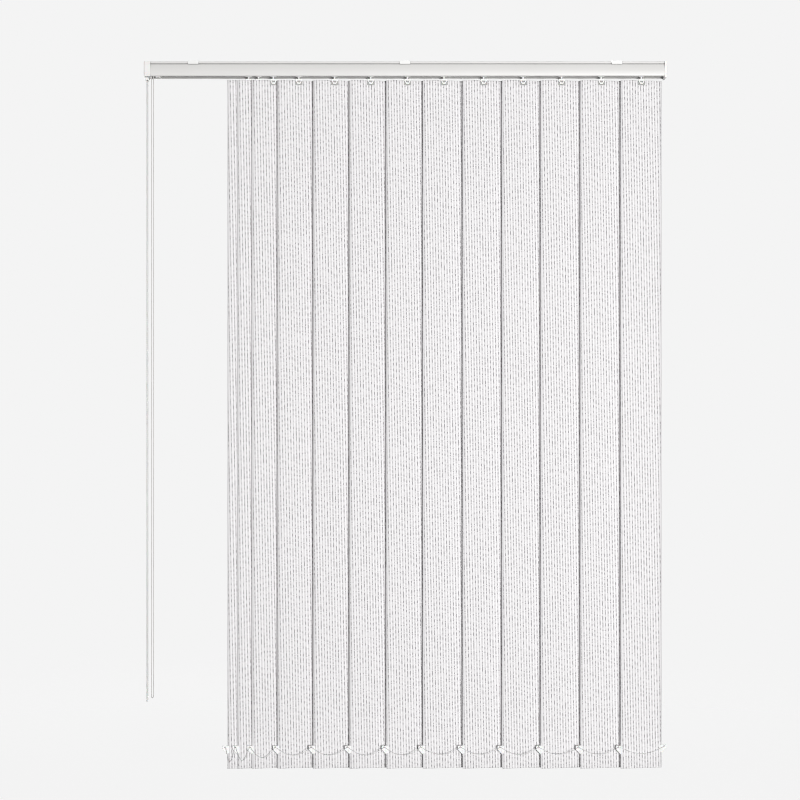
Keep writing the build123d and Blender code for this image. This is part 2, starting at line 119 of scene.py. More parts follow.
# Chains and cord
bead_pitch = 4.3 * mm
bead_thread = 1.3 * mm
chain_diameter = 3.2 * mm
cord_diameter = 1.6 * mm
link_diameter = 1.2 * mm
link_pitch = 2.7 * mm
link_thread = 0.7 * mm
link_stand_off = 3.2 * mm
clip_radius = 1.1 * mm
link_gap = 1.2 * mm
wide_sag = 14.8 * mm
wide_pitch = 82.6 * mm
sag_share = 0.25


def linear(colour):
    """An sRGB hex colour as the linear values that a shader takes."""
    channels = [int(colour[i:i + 2], 16) / 255 for i in (0, 2, 4)]
    return (*(c / 12.92 if c <= 0.04045 else ((c + 0.055) / 1.055) ** 2.4 for c in channels), 1)


def add(tree, kind, inputs=None, **settings):
    """Adds a node with its settings, and sets each input to a value or links it to an output."""
    node = tree.nodes.new(kind)
    for name, value in settings.items():
        setattr(node, name, value)
    for name, value in (inputs or {}).items():
        if isinstance(value, bpy.types.NodeSocket):
            tree.links.new(value, node.inputs[name])
        else:
            node.inputs[name].default_value = value
    return node


def new_material(name, colour, roughness, **more):
    """A material of one shader, whose colour and bump can then be linked."""
    material = bpy.data.materials.new(name)
    material.use_nodes = True
    shader = material.node_tree.nodes["Principled BSDF"]
    shader.inputs["Base Color"].default_value = linear(colour)
    shader.inputs["Roughness"].default_value = roughness
    for socket, value in more.items():
        shader.inputs[socket.replace("_", " ")].default_value = value
    return material, material.node_tree, shader


def mottled_with_painted_shade(tree, colour, mottle, dimmest, reach, open_share, hollow):
    """The colour with a faint mottle, and painted shade: darker in grooves and recesses, which little light
    reaches.
    """
    ramp = add(
        tree,
        "ShaderNodeMapRange",
        {"Value": mottle, "From Min": 0.3, "From Max": 0.7, "To Min": dimmest, "To Max": 1.0},
    )
    # Painted shade: ambient occlusion within reach darkens the colour, down to hollow in the deepest
    # recesses.
    ao_for_painted_shade = add(tree, "ShaderNodeAmbientOcclusion", {"Distance": reach}, samples=6)
    painted_recess_shade = add(
        tree,
        "ShaderNodeMapRange",
        {"Value": ao_for_painted_shade.outputs["AO"], "From Min": 0.3, "From Max": open_share, "To Min": hollow},
    )
    tone = add(tree, "ShaderNodeMath", {0: ramp.outputs[0], 1: painted_recess_shade.outputs[0]}, operation="MULTIPLY")
    scaled = {0: linear(colour)[:3], "Scale": tone.outputs[0]}
    return add(tree, "ShaderNodeVectorMath", scaled, operation="SCALE").outputs[0]


def powder_coat(name, colour, roughness):
    """Polyester powder coat: an even satin white with the faint orange peel of the baked film, and painted
    shade in its grooves.
    """
    material, tree, shader = new_material(name, colour, roughness, Coat_Weight=0.15, Coat_Roughness=0.25)
    place = add(tree, "ShaderNodeTexCoord")
    # Orange peel is about 2 mm across. The die lines of the extrusion run along it, 4 mm apart.
    peel = add(
        tree, "ShaderNodeTexNoise", {"Vector": place.outputs["Object"], "Scale": 500.0, "Detail": 2.0}
    )
    stretched = add(
        tree, "ShaderNodeMapping", {"Vector": place.outputs["Object"], "Scale": (2.0, 260.0, 260.0)}
    )
    lines = add(tree, "ShaderNodeTexNoise", {"Vector": stretched.outputs[0], "Scale": 1.0, "Detail": 1.0})
    both = add(
        tree,
        "ShaderNodeMath",
        {0: lines.outputs["Fac"], 1: 0.6, 2: peel.outputs["Fac"]},
        operation="MULTIPLY_ADD",
    )
    bump = add(tree, "ShaderNodeBump", {"Height": both.outputs[0], "Strength": 0.25, "Distance": 0.08 * mm})
    tree.links.new(bump.outputs[0], shader.inputs["Normal"])
    # The coat's tone drifts over about 100 mm.
    tint = add(tree, "ShaderNodeTexNoise", {"Vector": place.outputs["Object"], "Scale": 9.0, "Detail": 3.0})
    # Painted shade darkens the coat in grooves and recesses within 12 mm.
    shade = mottled_with_painted_shade(tree, colour, tint.outputs["Fac"], 0.97, 12 * mm, 0.95, 0.45)
    tree.links.new(shade, shader.inputs["Base Color"])
    return material


def moulded(name, colour, roughness, grain, hollow=0.55):
    """Injection-moulded plastic with a fine spark-eroded grain, a soft glow and painted shade in recesses.
    """
    material, tree, shader = new_material(
        name, colour, roughness, Subsurface_Weight=0.06, Subsurface_Scale=2 * mm
    )
    place = add(tree, "ShaderNodeTexCoord")
    fine = add(
        tree, "ShaderNodeTexNoise", {"Vector": place.outputs["Object"], "Scale": 1 / grain, "Detail": 2.0}
    )
    bump = add(
        tree, "ShaderNodeBump", {"Height": fine.outputs["Fac"], "Strength": 0.3, "Distance": 0.04 * mm}
    )
    tree.links.new(bump.outputs[0], shader.inputs["Normal"])
    # The melt's flow shows faintly, about 17 mm across.
    flow = add(tree, "ShaderNodeTexNoise", {"Vector": place.outputs["Object"], "Scale": 60.0, "Detail": 2.0})
    # Painted shade darkens the plastic in recesses within 6 mm; hollow is how light the deepest of it stays.
    shade = mottled_with_painted_shade(tree, colour, flow.outputs["Fac"], 0.965, 6 * mm, 0.9, hollow)
    tree.links.new(shade, shader.inputs["Base Color"])
    return material


def drawn_aluminium():
    """Satin-anodised aluminium rod: grey metal with fine drawing lines along it."""
    material, tree, shader = new_material("drawn_aluminium", "C6C8CA", 0.36, Metallic=1.0)
    place = add(tree, "ShaderNodeTexCoord")
    # Drawing lines are under 0.1 mm apart; they are drawn 0.4 mm apart so that they show.
    along = add(
        tree, "ShaderNodeMapping", {"Vector": place.outputs["Object"], "Scale": (6.0, 2500.0, 2500.0)}
    )
    lines = add(tree, "ShaderNodeTexNoise", {"Vector": along.outputs[0], "Scale": 1.0, "Detail": 1.0})
    bump = add(
        tree, "ShaderNodeBump", {"Height": lines.outputs["Fac"], "Strength": 0.3, "Distance": 0.03 * mm}
    )
    rough = add(tree, "ShaderNodeMapRange", {"Value": lines.outputs["Fac"], "To Min": 0.28, "To Max": 0.44})
    tree.links.new(bump.outputs[0], shader.inputs["Normal"])
    tree.links.new(rough.outputs[0], shader.inputs["Roughness"])
    return material


def braided_cord():
    """Braided polyester cord: white, matt, with the slanting plait of its yarns and painted shade in its
    grooves.
    """
    colour = "DFDDDB"
    material, tree, shader = new_material(
        "braided_polyester", colour, 0.75, Sheen_Weight=0.25, Sheen_Roughness=0.5
    )
    place = add(tree, "ShaderNodeTexCoord")
    # A plait repeats about every 2 mm of the cord.
    plait = add(
        tree, "ShaderNodeMapping", {"Vector": place.outputs["Object"], "Scale": (900.0, 900.0, 500.0)}
    )
    wave = add(
        tree,
        "ShaderNodeTexWave",
        {"Vector": plait.outputs[0], "Scale": 0.6, "Distortion": 1.0},
        bands_direction="DIAGONAL",
    )
    bump = add(
        tree, "ShaderNodeBump", {"Height": wave.outputs["Fac"], "Strength": 0.5, "Distance": 0.12 * mm}
    )
    tree.links.new(bump.outputs[0], shader.inputs["Normal"])
    # Painted shade: the plait's low parts are drawn darker, following its bump.
    tone = add(tree, "ShaderNodeMapRange", {"Value": wave.outputs["Fac"], "To Min": 0.88, "To Max": 1.0})
    scaled = {0: linear(colour)[:3], "Scale": tone.outputs[0]}
    shade = add(tree, "ShaderNodeVectorMath", scaled, operation="SCALE")
    tree.links.new(shade.outputs[0], shader.inputs["Base Color"])
    return material


def ribbed_weave():
    """Woven polyester: narrow white ribs, and in each groove a grey thread broken into dashes."""
    material, tree, shader = new_material(
        "ribbed_weave", "F0EEEF", 0.82, Sheen_Weight=0.2, Sheen_Roughness=0.45
    )
    cloth = add(tree, "ShaderNodeUVMap", uv_map="cloth")
    place = add(tree, "ShaderNodeSeparateXYZ", {0: cloth.outputs[0]})
    across, up = place.outputs["X"], place.outputs["Y"]

    # The ribs lean by 19 mm in each metre of height, as the cloth was slit a little off its grain.
    # The phase is 0 on the white thread and pi between two of them.
    leant = add(tree, "ShaderNodeMath", {0: up, 1: rib_lean, 2: across}, operation="MULTIPLY_ADD")
    row = add(tree, "ShaderNodeMath", {0: leant.outputs[0], 1: 1 / rib_spacing}, operation="MULTIPLY")
    phase = add(tree, "ShaderNodeMath", {0: row.outputs[0], 1: tau}, operation="MULTIPLY")
    rib = add(tree, "ShaderNodeMath", {0: phase.outputs[0]}, operation="COSINE")
    height = add(tree, "ShaderNodeMath", {0: rib.outputs[0], 1: 0.5, 2: 0.5}, operation="MULTIPLY_ADD")
    white = add(tree, "ShaderNodeMath", {0: height.outputs[0], 1: 2.0}, operation="POWER")
    groove = add(tree, "ShaderNodeMath", {0: row.outputs[0]}, operation="FLOOR")

    # The woven figure: feathered strokes that rise and fall across the slat and come and go.
    turn = add(tree, "ShaderNodeMath", {0: up, 1: tau / figure_turn}, operation="MULTIPLY")
    lean = add(tree, "ShaderNodeMath", {0: turn.outputs[0]}, operation="SINE")
    sway = add(
        tree,
        "ShaderNodeMath",
        {0: across, 1: tau / figure_width, 2: lean.outputs[0]},
        operation="MULTIPLY_ADD",
    )
    swing = add(tree, "ShaderNodeMath", {0: sway.outputs[0]}, operation="SINE")
    climb = add(tree, "ShaderNodeMath", {0: up, 1: tau / stroke_spacing}, operation="MULTIPLY")
    bent = add(
        tree,
        "ShaderNodeMath",
        {0: swing.outputs[0], 1: figure_swing, 2: climb.outputs[0]},
        operation="MULTIPLY_ADD",
    )
    stroke = add(tree, "ShaderNodeMath", {0: bent.outputs[0]}, operation="SINE")
    patch = add(tree, "ShaderNodeTexNoise", {"Vector": cloth.outputs[0], "Scale": 45.0, "Detail": 1.0})
    strong = add(
        tree,
        "ShaderNodeMapRange",
        {"Value": patch.outputs["Fac"], "From Min": 0.4, "From Max": 0.65, "To Min": 0.12, "To Max": 0.42},
    )

    # One thread lies in each groove, midway between two ribs. Every pick of the weft either covers it
    # or lets it show as a short grey dash, more often so on a stroke of the figure.
    line = add(tree, "ShaderNodeMapRange", {"Value": height.outputs[0], "From Min": 0.4, "From Max": 0.06})
    picks = add(tree, "ShaderNodeMath", {0: up, 1: 1 / pick_spacing}, operation="MULTIPLY")
    pick = add(tree, "ShaderNodeMath", {0: picks.outputs[0]}, operation="FLOOR")
    spot = add(tree, "ShaderNodeCombineXYZ", {0: groove.outputs[0], 1: pick.outputs[0]})
    chance = add(tree, "ShaderNodeTexWhiteNoise", {"Vector": spot.outputs[0]}, noise_dimensions="2D")
    exposed = add(
        tree,
        "ShaderNodeMath",
        {0: stroke.outputs[0], 1: strong.outputs[0], 2: chance.outputs["Value"]},
        operation="MULTIPLY_ADD",
    )
    dash = add(
        tree,
        "ShaderNodeMapRange",
        {"Value": exposed.outputs[0], "From Min": 0.3, "From Max": 0.9, "To Min": 0.15, "To Max": 1.0},
    )
    thread = add(tree, "ShaderNodeMath", {0: line.outputs[0], 1: dash.outputs[0]}, operation="MULTIPLY")

    # Other picks bind a white rib down, and it dims there.
    beside = add(tree, "ShaderNodeMath", {0: row.outputs[0], 1: 0.5}, operation="ADD")
    nearest = add(tree, "ShaderNodeMath", {0: beside.outputs[0]}, operation="FLOOR")
    knot = add(tree, "ShaderNodeCombineXYZ", {0: pick.outputs[0], 1: nearest.outputs[0]})
    bind = add(tree, "ShaderNodeTexWhiteNoise", {"Vector": knot.outputs[0]}, noise_dimensions="2D")
    bound = add(
        tree,
        "ShaderNodeMapRange",
        {"Value": bind.outputs["Value"], "From Min": 0.3, "To Min": 1.0, "To Max": 0.5},
    )
    ribs = add(tree, "ShaderNodeMath", {0: white.outputs[0], 1: bound.outputs[0]}, operation="MULTIPLY")

    # The cut sides are painted white in a narrow band, a painted highlight along each edge, and the grey
    # thread is left out there.
    side = add(tree, "ShaderNodeMath", {0: across}, operation="ABSOLUTE")
    inward = {"From Min": slat_width / 2 - edge_highlight_band[0], "From Max": slat_width / 2 - edge_highlight_band[1]}
    inside = add(tree, "ShaderNodeMapRange", {"Value": side.outputs[0], **inward})
    painted_edge_highlight = add(tree, "ShaderNodeMath", {0: 1.0, 1: inside.outputs[0]}, operation="SUBTRACT")
    bright = add(tree, "ShaderNodeMath", {0: ribs.outputs[0], 1: painted_edge_highlight.outputs[0]}, operation="MAXIMUM")
    dark = add(tree, "ShaderNodeMath", {0: thread.outputs[0], 1: inside.outputs[0]}, operation="MULTIPLY")
    ground = add(
        tree,
        "ShaderNodeMix",
        {"Factor": bright.outputs[0], "A": linear("E5E3E4"), "B": linear("FAF9FA")},
        data_type="RGBA",
    )
    colour = add(
        tree,
        "ShaderNodeMix",
        {"Factor": dark.outputs[0], "A": ground.outputs["Result"], "B": linear("9C9A9C")},
        data_type="RGBA",
    )
    tree.links.new(colour.outputs["Result"], shader.inputs["Base Color"])

    # Threads are 0.3 mm apart. They are drawn 1.2 mm apart so that they show.
    warp = add(tree, "ShaderNodeMath", {0: across, 1: tau / drawn_thread}, operation="MULTIPLY")
    weft = add(tree, "ShaderNodeMath", {0: up, 1: tau / drawn_thread}, operation="MULTIPLY")
    over = add(tree, "ShaderNodeMath", {0: warp.outputs[0]}, operation="SINE")
    under = add(tree, "ShaderNodeMath", {0: weft.outputs[0]}, operation="SINE")
    knit = add(tree, "ShaderNodeMath", {0: over.outputs[0], 1: under.outputs[0]}, operation="MULTIPLY")
    relief = add(
        tree,
        "ShaderNodeMath",
        {0: knit.outputs[0], 1: 0.12, 2: height.outputs[0]},
        operation="MULTIPLY_ADD",
    )
    bump = add(tree, "ShaderNodeBump", {"Height": relief.outputs[0], "Strength": 0.35, "Distance": 0.2 * mm})
    tree.links.new(bump.outputs[0], shader.inputs["Normal"])
    return material


# The powder coats and moulded plastics carry painted shade in their recesses; a plastic's last number is how
# light that shade stays.
rail_white = powder_coat("powder_coated_aluminium", "E2E1DF", 0.42)
bracket_white = powder_coat("powder_coated_spring_steel", "F6F6F4", 0.4)
housing_white = moulded("moulded_abs", "F5F4F2", 0.42, 0.5 * mm)
weight_white = moulded("moulded_polypropylene", "F4F3F2", 0.45, 0.5 * mm, 0.85)
# The hanger plate is painted grey, with strong painted shade in its recesses, for the dark seen through each
# hook's ring.
hanger_painted_shade_grey = moulded("moulded_polypropylene_painted_shade", "B2B2B0", 0.35, 0.5 * mm, 0.3)
hook_white = moulded("moulded_acetal", "FCFCFA", 0.32, 0.4 * mm, 0.9)
carrier_white = moulded("moulded_acetal_grey", "D9D8D5", 0.4, 0.4 * mm)
bead_white = moulded("moulded_bead_plastic", "FCFCFA", 0.3, 0.4 * mm, 0.9)
link_grey = moulded("moulded_link_plastic", "DEDDDC", 0.35, 0.4 * mm, 0.75)
rod_metal = drawn_aluminium()
cord_white = braided_cord()
cloth_white = ribbed_weave()


def dress(name, material):
    """Gives a carried-over solid its material."""
    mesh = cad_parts[name].data
    mesh.materials.clear()
    mesh.materials.append(material)


dress("headrail", rail_white)
dress("mounting_brackets", bracket_white)
dress("control_end", housing_white)
dress("end_cap", housing_white)
dress("tilt_rod", rod_metal)
for number in range(1, slat_count + 1):
    dress(f"hook_{number:02d}", hook_white)
    dress(f"carrier_{number:02d}", carrier_white)


def shown(bm, name, material, body=None, smooth=True):
    """Makes the finished mesh a piece of the object, with its material, and lets it ride on a body."""
    mesh = bpy.data.meshes.new(name)
    for face in bm.faces:
        face.smooth = smooth
    bm.to_mesh(mesh)
    bm.free()
    mesh.materials.append(material)
    piece = bpy.data.objects.new(name, mesh)
    bpy.context.scene.collection.objects.link(piece)
    if body:
        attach(piece, body)
    return piece


def grow(bm, faces, step):
    """Extrudes the faces by a step and turns the shell's faces outwards."""
    grown = bmesh.ops.extrude_face_region(bm, geom=faces)["geom"]
    verts = [g for g in grown if isinstance(g, bmesh.types.BMVert)]
    bmesh.ops.translate(bm, verts=verts, vec=step)
    bmesh.ops.recalc_face_normals(bm, faces=bm.faces)


def soften(bm, width, segments=2):
    """Rounds the sharp edges as a mould leaves them."""
    sharp = [e for e in bm.edges if len(e.link_faces) == 2 and e.calc_face_angle() > radians(40)]
    bmesh.ops.bevel(
        bm,
        geom=sharp,
        affect="EDGES",
        offset=width,
        segments=segments,
        profile=0.5,
        material=-1,
        clamp_overlap=True,
    )


def cut_plate(outline, openings, front, back, rounds=(), radius=0.0, bevel=0.15 * mm):
    """A flat plate from its outline in (x, z), with openings left in it and its edges softened."""
    bm = bmesh.new()
    corners = [bm.verts.new((x, front, z)) for x, z in outline]
    bm.faces.new(corners)
    if rounds:
        bmesh.ops.bevel(
            bm,
            geom=[corners[i] for i in rounds],
            affect="VERTICES",
            offset=radius,
            segments=4,
            profile=0.5,
            material=-1,
        )
    bmesh.ops.delete(bm, geom=bm.faces[:], context="FACES_ONLY")
    for opening in openings:
        if len(opening) == 3:
            x, z, size = opening
            upright = Matrix.Translation((x, front, z)) @ Matrix.Rotation(pi / 2, 4, "X")
            bmesh.ops.create_circle(bm, segments=16, radius=size, matrix=upright)
        else:
            ring = [bm.verts.new((x, front, z)) for x, z in opening]
            for a, b in zip(ring, ring[1:] + ring[:1]):
                bm.edges.new((a, b))
    bmesh.ops.triangle_fill(bm, edges=bm.edges[:], use_beauty=True)
    bmesh.ops.dissolve_limit(bm, angle_limit=radians(1), verts=bm.verts[:], edges=bm.edges[:])
    grow(bm, bm.faces[:], (0, back - front, 0))
    soften(bm, bevel)
    return bm


def joined(parts):
    """One mesh of several closed shells."""
    whole = bmesh.new()
    for part in parts:
        mesh = bpy.data.meshes.new("part")
        part.to_mesh(mesh)
        part.free()
        whole.from_mesh(mesh)
        bpy.data.meshes.remove(mesh)
    return whole


def slab(low, high, bevel=0.15 * mm):
    """A plain plate between two corners, with softened edges."""
    low, high = Vector(low), Vector(high)
    bm = bmesh.new()
    fit = Matrix.Translation((low + high) / 2) @ Matrix.Diagonal((*(high - low), 1))
    bmesh.ops.create_cube(bm, size=1.0, matrix=fit)
    soften(bm, bevel)
    return bm


def ear(side):
    """One ear of the weight: a rim, a shallow recess with the chain's hole, and two laps over the hem."""
    edge = slat_width / 2 + 2 * pocket_clearance
    outer = slat_width / 2 + ear_reach
    foot = ear_top - ear_height
    half = ear_thickness / 2
    outline = [
        (side * edge, ear_top),
        (side * outer, ear_top),
        (side * outer, ear_top - ear_side),
        (side * edge, foot),
    ]
    hollow = [
        (side * (edge + 2 * ear_rim), ear_top - ear_rim),
        (side * (outer - ear_rim), ear_top - ear_rim),
        (side * (outer - ear_rim), ear_top - ear_side + ear_rim / 2),
        (side * (edge + 2 * ear_rim), foot + 4 * ear_rim),
    ]
    hole = (side * link_hole_u, link_hole_z, link_hole_radius)
    rim = cut_plate(outline, [hollow], -half, -half + ear_recess + rim_overlap, (1, 2), ear_round)
    floor = cut_plate(outline, [hole], -half + ear_recess, half, (1, 2), ear_round)
    near, far = sorted((side * (edge + ear_rim), side * (edge - lap_width)))
    lap_top = ear_top - ear_rim
    laps = []
    for face in (-1, 1):
        front, back = sorted((face * half, face * (half + lap_thickness)))
        laps.append(slab((near, front, lap_top - lap_height), (far, back, lap_top)))
    return [rim, floor, *laps]


def weight_shell():
    """The bottom weight: a flat plate in the hem, a cross plate and its two ears."""
    thin = weight_thickness / 2
    plate_half = slat_width / 2 - weight_inset
    cross_half = slat_width / 2 + 3 * pocket_clearance
    bottom = slat_bottom + cloth_thickness + pocket_clearance
    plate = slab((-plate_half, -thin, bottom), (plate_half, thin, bottom + weight_height))
    cross = slab((-cross_half, -thin, ear_top - ear_height), (cross_half, thin, ear_top))
    return joined([plate, cross, *ear(-1), *ear(1)])


def hanger_shell():
    """The stiff plate in the top hem, with the window that the hook grips."""
    half = slat_width / 2 - hanger_inset
    top = slat_top - hanger_drop
    outline = [(-half, top), (half, top), (half, top - hanger_height), (-half, top - hanger_height)]
    side = window_width / 2
    window_top = top - window_drop
    window = [
        (-side, window_top),
        (side, window_top),
        (side, window_top - window_height),
        (-side, window_top - window_height),
    ]
    thin = hanger_thickness / 2
    return cut_plate(outline, [window], -thin, thin, (0, 1, 2, 3), hanger_round)


def cloth_strip(seed):
    """The cloth of one slat: a single strip, folded back over the hanger plate and under the weight."""
    fold = (hem_thickness - cloth_thickness) / 2
    half_cloth = cloth_thickness / 2
    high_seam = slat_top - top_hem
    low_seam = slat_bottom + bottom_hem
    high_fold = slat_top - half_cloth - fold
    low_fold = slat_bottom + half_cloth + fold
    bend = [(fold * cos(radians(a)), fold * sin(radians(a))) for a in range(0, 181, 45)]
    sewn_tail = 0.95 * cloth_thickness
    side = [(sewn_tail, high_seam)]
    side += [(fold, high_seam + hem_taper)]
    side += [(y, high_fold + z) for y, z in bend]
    side += [(-fold, high_seam + hem_taper), (0, high_seam), (0, low_seam), (-fold, low_seam - hem_taper)]
    side += [(y, low_fold - z) for y, z in reversed(bend)]
    side += [(fold, low_seam - hem_taper), (sewn_tail, low_seam)]

    bm = bmesh.new()
    verts = [bm.verts.new((-slat_width / 2, y, z)) for y, z in side]
    edges = [bm.edges.new(pair) for pair in zip(verts, verts[1:])]
    grown = bmesh.ops.extrude_edge_only(bm, edges=edges)["geom"]
    far = [g for g in grown if isinstance(g, bmesh.types.BMVert)]
    bmesh.ops.translate(bm, verts=far, vec=(slat_width, 0, 0))
    long = [e for e in bm.edges if abs(e.verts[0].co.z - e.verts[1].co.z) > 0.5]
    bmesh.ops.subdivide_edges(bm, edges=long, cuts=cloth_rows - 1, use_grid_fill=True)
    level = [e for e in bm.edges if abs(e.verts[0].co.x - e.verts[1].co.x) > 0.5 * slat_width]
    bmesh.ops.subdivide_edges(bm, edges=level, cuts=cloth_columns - 1, use_grid_fill=True)

    half_notch = notch_width / 2
    notch_foot = slat_top - notch_depth
    planes = [
        ((half_notch, 0, 0), (1, 0, 0)),
        ((-half_notch, 0, 0), (1, 0, 0)),
        ((0, 0, notch_foot), (0, 0, 1)),
    ]
    for place, normal in planes:
        bmesh.ops.bisect_plane(
            bm, geom=[*bm.verts, *bm.edges, *bm.faces], dist=0.01 * mm, plane_co=place, plane_no=normal
        )
    cut = [
        f for f in bm.faces
        if abs(f.calc_center_median().x) < half_notch and f.calc_center_median().z > notch_foot
    ]
    bmesh.ops.delete(bm, geom=cut, context="FACES")
    bmesh.ops.recalc_face_normals(bm, faces=bm.faces)

    # Each slat is cut from its own stretch of the cloth, so the figure differs from slat to slat.
    uv = bm.loops.layers.uv.new("cloth")
    shift = Vector((0, cloth_step * seed))
    for face in bm.faces:
        for loop in face.loops:
            loop[uv].uv = Vector((loop.vert.co.x, loop.vert.co.z)) + shift

    # The free cloth between the hems is not dead flat: it drifts by a third of a millimetre.
    for vert in bm.verts:
        free = min((vert.co.z - low_seam) / drift_fade, (high_seam - vert.co.z) / drift_fade, 1.0)
        if free > 0:
            drift = noise.noise(Vector((vert.co.x * 14, vert.co.z * 5, seed * 3.7)))
            vert.co.y += cloth_drift * drift * free
    return bm


def at_vane(bm, x):
    """Turns a piece drawn square to the blind to the resting tilt, under its carrier."""
    hung = Matrix.Translation((x, 0, 0)) @ Matrix.Rotation(rest_tilt, 4, "Z")
    bmesh.ops.transform(bm, matrix=hung, verts=bm.verts)
    return bm


def solidify(piece, thickness):
    """Gives a strip of cloth its thickness, the same on both sides."""
    wall = piece.modifiers.new("thickness", "SOLIDIFY")
    wall.thickness = thickness
    wall.offset = 0
    wall.use_even_offset = True


def vane_x(number):
    """Where along the headrail a vane hangs."""
    low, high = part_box(f"slat_{number:02d}")
    return (low.x + high.x) / 2


def route(points):
    """The smooth line of a cord, a NURBS spline with these control points."""
    curve = bpy.data.curves.new("route", "CURVE")
    curve.dimensions = "3D"
    curve.resolution_u = 16
    spline = curve.splines.new("NURBS")
    spline.points.add(len(points) - 1)
    for control, point in zip(spline.points, points):
        control.co = (*point, 1)
    spline.order_u = 3
    spline.use_endpoint_u = True
    return curve


def line_along(points):
    """The close points of the smooth line with these control points, read from its own spline."""
    curve = route(points)
    holder = bpy.data.objects.new("route", curve)
    mesh = bpy.data.meshes.new_from_object(holder)
    line = [v.co.copy() for v in mesh.vertices]
    bpy.data.objects.remove(holder)
    bpy.data.meshes.remove(mesh)
    bpy.data.curves.remove(curve)
    return line


def slack_line(start, finish, sag):
    """The line of a slack stretch of chain between two points."""
    points = []
    for share in (0, 0.2, 0.4, 0.6, 0.8, 1):
        low = 4 * sag * share * (1 - share)
        points.append(start.lerp(finish, share) - Vector((0, 0, low)))
    return line_along(points)


def paced(points, pitch):
    """Places at even steps along a line, with the direction there."""
    long = sum((b - a).length for a, b in zip(points, points[1:]))
    count = max(2, round(long / pitch))
    step = long / count
    places, walked, due = [], 0.0, step / 2
    for a, b in zip(points, points[1:]):
        run = (b - a).length
        while due <= walked + run and len(places) < count:
            places.append((a.lerp(b, (due - walked) / run), (b - a).normalized()))
            due += step
        walked += run
    return places, step, long


def bead_chain(points, diameter, pitch, thread):
    """Beads moulded on a thread, at an even pitch along a line."""
    places, step, long = paced(points, pitch)
    # The thread of a bead reaches a little into its neighbours', so the chain shows no gaps.
    reach = 1.04 * step
    unit = bmesh.new()
    bmesh.ops.create_uvsphere(unit, u_segments=8, v_segments=6, radius=diameter / 2)
    bmesh.ops.create_cone(
        unit, segments=5, radius1=thread / 2, radius2=thread / 2, depth=reach, cap_ends=True
    )
    mesh = bpy.data.meshes.new("bead")
    unit.to_mesh(mesh)
    unit.free()
    chain = bmesh.new()
    for place, direction in places:
        turn = Matrix.Translation(place) @ direction.to_track_quat("Z", "Y").to_matrix().to_4x4()
        mesh.transform(turn)
        chain.from_mesh(mesh)
        mesh.transform(turn.inverted())
    bpy.data.meshes.remove(mesh)
    return chain, long


# The camera looks squarely at the blind from 4.5 m, level with its middle.
view_distance = 4500 * mm
view_width = 1664 * mm
camera = bpy.data.objects.new("camera", bpy.data.cameras.new("camera"))
camera.location = (-10.4 * mm, -view_distance, -702.6 * mm)
camera.rotation_euler = (pi / 2, 0, 0)
camera.data.sensor_width = 36
camera.data.lens = camera.data.sensor_width * view_distance / view_width
bpy.context.scene.collection.objects.link(camera)
bpy.context.scene.camera = camera

# The control chain is a closed loop. It leaves the funnel, hangs down and comes back up behind.
wheel_x = -537.1 * mm
front_y = -1.6 * mm
back_y = 17.6 * mm
chain_top = -34.3 * mm
chain_bottom = -1330.0 * mm
chain_bend = chain_bottom + 24.0 * mm
chain_line = line_along([
    (wheel_x, front_y, chain_top),
    (wheel_x, front_y, chain_bend),
    (wheel_x, front_y, chain_bottom),
    (wheel_x, back_y, chain_bottom),
    (wheel_x, back_y, chain_bend),
    (wheel_x, back_y, chain_top),
])
beads, chain_length = bead_chain(chain_line, chain_diameter, bead_pitch, bead_thread)
control_chain = shown(beads, "control_chain", bead_white, "rail")
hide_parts("tilt_chain")

# The pull cord hangs in a loop beside it, and runs along inside the headrail to a pulley and back.
left_x, left_y = -526.4 * mm, -6.0 * mm
right_x, right_y = -523.6 * mm, 6.0 * mm
cord_top = -25.0 * mm
cord_bottom = -1322.0 * mm
cord_bend = cord_bottom + 16.0 * mm


def cord_piece(name, points):
    """One visible part of the cord, along a smooth line with these control points."""
    curve = route(points)
    curve.bevel_depth = cord_diameter / 2
    curve.bevel_resolution = 3
    curve.use_fill_caps = True
    curve.materials.append(cord_white)
    piece = bpy.data.objects.new(name, curve)
    bpy.context.scene.collection.objects.link(piece)
    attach(piece, "rail")
    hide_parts("traverse_cord")
    return piece


cord_piece(
    "pull_cord",
    [
        (left_x, left_y, cord_top),
        (left_x, left_y, cord_bend),
        (left_x, left_y, cord_bottom),
        (right_x, right_y, cord_bottom),
        (right_x, right_y, cord_bend),
        (right_x, right_y, cord_top),
    ],
)
line_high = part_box("traverse_cord")[1]
line_y, line_top, line_foot = -10.0 * mm, -10.0 * mm, -20.0 * mm
line_start = -478.9 * mm
pulley_far = line_high.x - cord_diameter / 2
pulley_bend = pulley_far - 8.5 * mm
cord_piece(
    "draw_line",
    [
        (line_start, line_y, line_top),
        (pulley_bend, line_y, line_top),
        (pulley_far, line_y, line_top),
        (pulley_far, line_y, line_foot),
        (pulley_bend, line_y, line_foot),
        (line_start, line_y, line_foot),
    ],
)

weight = bpy.data.meshes.new("weight")
weight_bm = weight_shell()
weight_bm.to_mesh(weight)
weight_bm.free()
hanger = bpy.data.meshes.new("hanger")
hanger_bm = hanger_shell()
hanger_bm.to_mesh(hanger)
hanger_bm.free()

for number in range(1, slat_count + 1):
    tag = f"{number:02d}"
    body = f"vane_{tag}"
    x = vane_x(number)
    for mesh, name, plastic in ((hanger, "hanger_plate", hanger_painted_shade_grey), (weight, "weight_bar", weight_white)):
        bm = bmesh.new()
        bm.from_mesh(mesh)
        shown(at_vane(bm, x), f"{name}_{tag}", plastic, body, smooth=False)
    cloth = shown(at_vane(cloth_strip(number), x), f"slat_cloth_{tag}", cloth_white, body)
    solidify(cloth, cloth_thickness)
    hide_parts(f"slat_{tag}")


def ear_hole(number, side):
    """The middle of an ear's hole, on the left (-1) or right (1) of a slat."""
    reach = side * link_hole_u
    return Vector((vane_x(number) + reach * cos(rest_tilt), reach * sin(rest_tilt), link_hole_z))


